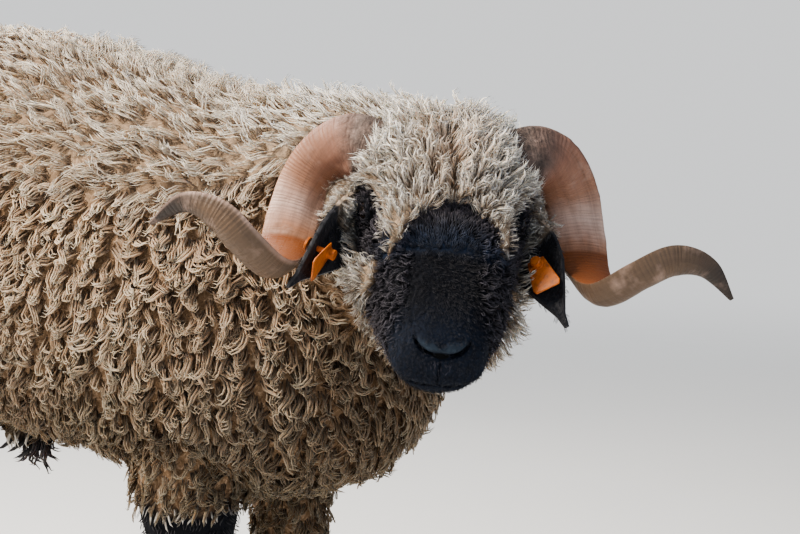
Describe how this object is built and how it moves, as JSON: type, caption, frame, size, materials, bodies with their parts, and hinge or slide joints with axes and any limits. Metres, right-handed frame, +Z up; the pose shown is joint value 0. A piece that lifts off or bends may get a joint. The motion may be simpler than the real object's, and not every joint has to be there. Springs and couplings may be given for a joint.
{
  "type": "valais blacknose sheep",
  "caption": "Life-size still model of a horned valais blacknose ram, standing with its head turned to its right, with ear tags.",
  "frame": {"origin": "on the floor, under the middle of the whole animal's box", "axes": "+Z up; the ram's body faces -Y and its left side is +X; its head is turned about 46 degrees to its right"},
  "size_m": [0.5324, 1.3594, 0.8489],
  "materials": {
    "wool": "matt curly fleece, cream with brown tinges",
    "black_hair": "short soft black hair",
    "horn": "ridged horn, pink tan to grey brown",
    "eye": "wet, dark brown",
    "hoof": "dark hoof horn",
    "ear_tag": "orange moulded plastic"
  },
  "bodies": {
    "root": {"torso": "wool", "neck": "wool", "head": "black_hair", "tail": "wool", "purse": "wool", "leg_front_right": "wool", "leg_front_left": "wool", "leg_hind_right": "wool", "leg_hind_left": "wool", "horn_right": "horn", "horn_left": "horn", "ear_right": "black_hair", "ear_left": "black_hair", "eye_right": "eye", "eye_left": "eye", "tag_right": "ear_tag", "tag_left": "ear_tag", "claw_front_right_right": "hoof", "claw_front_right_left": "hoof", "claw_front_left_right": "hoof", "claw_front_left_left": "hoof", "claw_hind_right_right": "hoof", "claw_hind_right_left": "hoof", "claw_hind_left_right": "hoof", "claw_hind_left_left": "hoof"}
  },
  "joints": []
}
